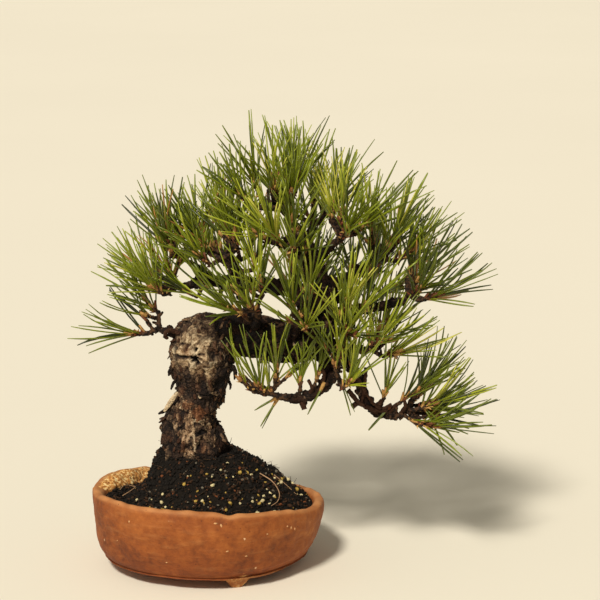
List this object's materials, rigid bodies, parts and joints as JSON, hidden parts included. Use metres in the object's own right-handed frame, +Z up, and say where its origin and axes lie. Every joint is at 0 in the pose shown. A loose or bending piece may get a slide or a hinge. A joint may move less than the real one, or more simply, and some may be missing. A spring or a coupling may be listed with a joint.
{
  "type": "japanese black pine bonsai in a round clay pot",
  "caption": "Small potted black pine with a thick bent trunk, level then rising leader, low cascading bough and needle tufts, in a round hand-pinched clay pot on three feet.",
  "frame": {"origin": "on the surface that the feet stand on, under the middle of the whole plant's box", "axes": "+Z up; -Y towards the front of the tree; +X towards the side that the leader and the cascading bough reach to"},
  "size_m": [0.2114, 0.1378, 0.2276],
  "materials": {
    "clay": "matte",
    "soil": "matte",
    "bark": "matte",
    "needles": "satin"
  },
  "bodies": {
    "root": {"pot": "clay", "soil": "soil", "trunk": "bark", "left_bough": "bark", "left_top_bough": "bark", "upper_left_bough": "bark", "left_low_bough": "bark", "back_left_bough": "bark", "back_middle_bough": "bark", "back_right_bough": "bark", "upper_front_bough": "bark", "apex_back_bough": "bark", "upper_right_bough": "bark", "right_bough": "bark", "right_low_bough": "bark", "right_middle_bough": "bark", "front_right_bough": "bark", "front_middle_bough": "bark", "front_left_bough": "bark", "low_front_bough": "bark", "cascade_bough": "bark", "low_right_bough": "bark", "apex_foliage": "needles", "apex_back_foliage": "needles", "upper_left_foliage": "needles", "upper_front_foliage": "needles", "left_top_foliage": "needles", "left_foliage": "needles", "left_low_foliage": "needles", "front_left_foliage": "needles", "front_middle_foliage": "needles", "front_right_foliage": "needles", "upper_right_foliage": "needles", "right_top_foliage": "needles", "right_foliage": "needles", "right_middle_foliage": "needles", "cascade_foliage": "needles", "low_front_foliage": "needles", "low_right_foliage": "needles", "back_left_foliage": "needles", "back_middle_foliage": "needles", "back_right_foliage": "needles"}
  },
  "joints": []
}
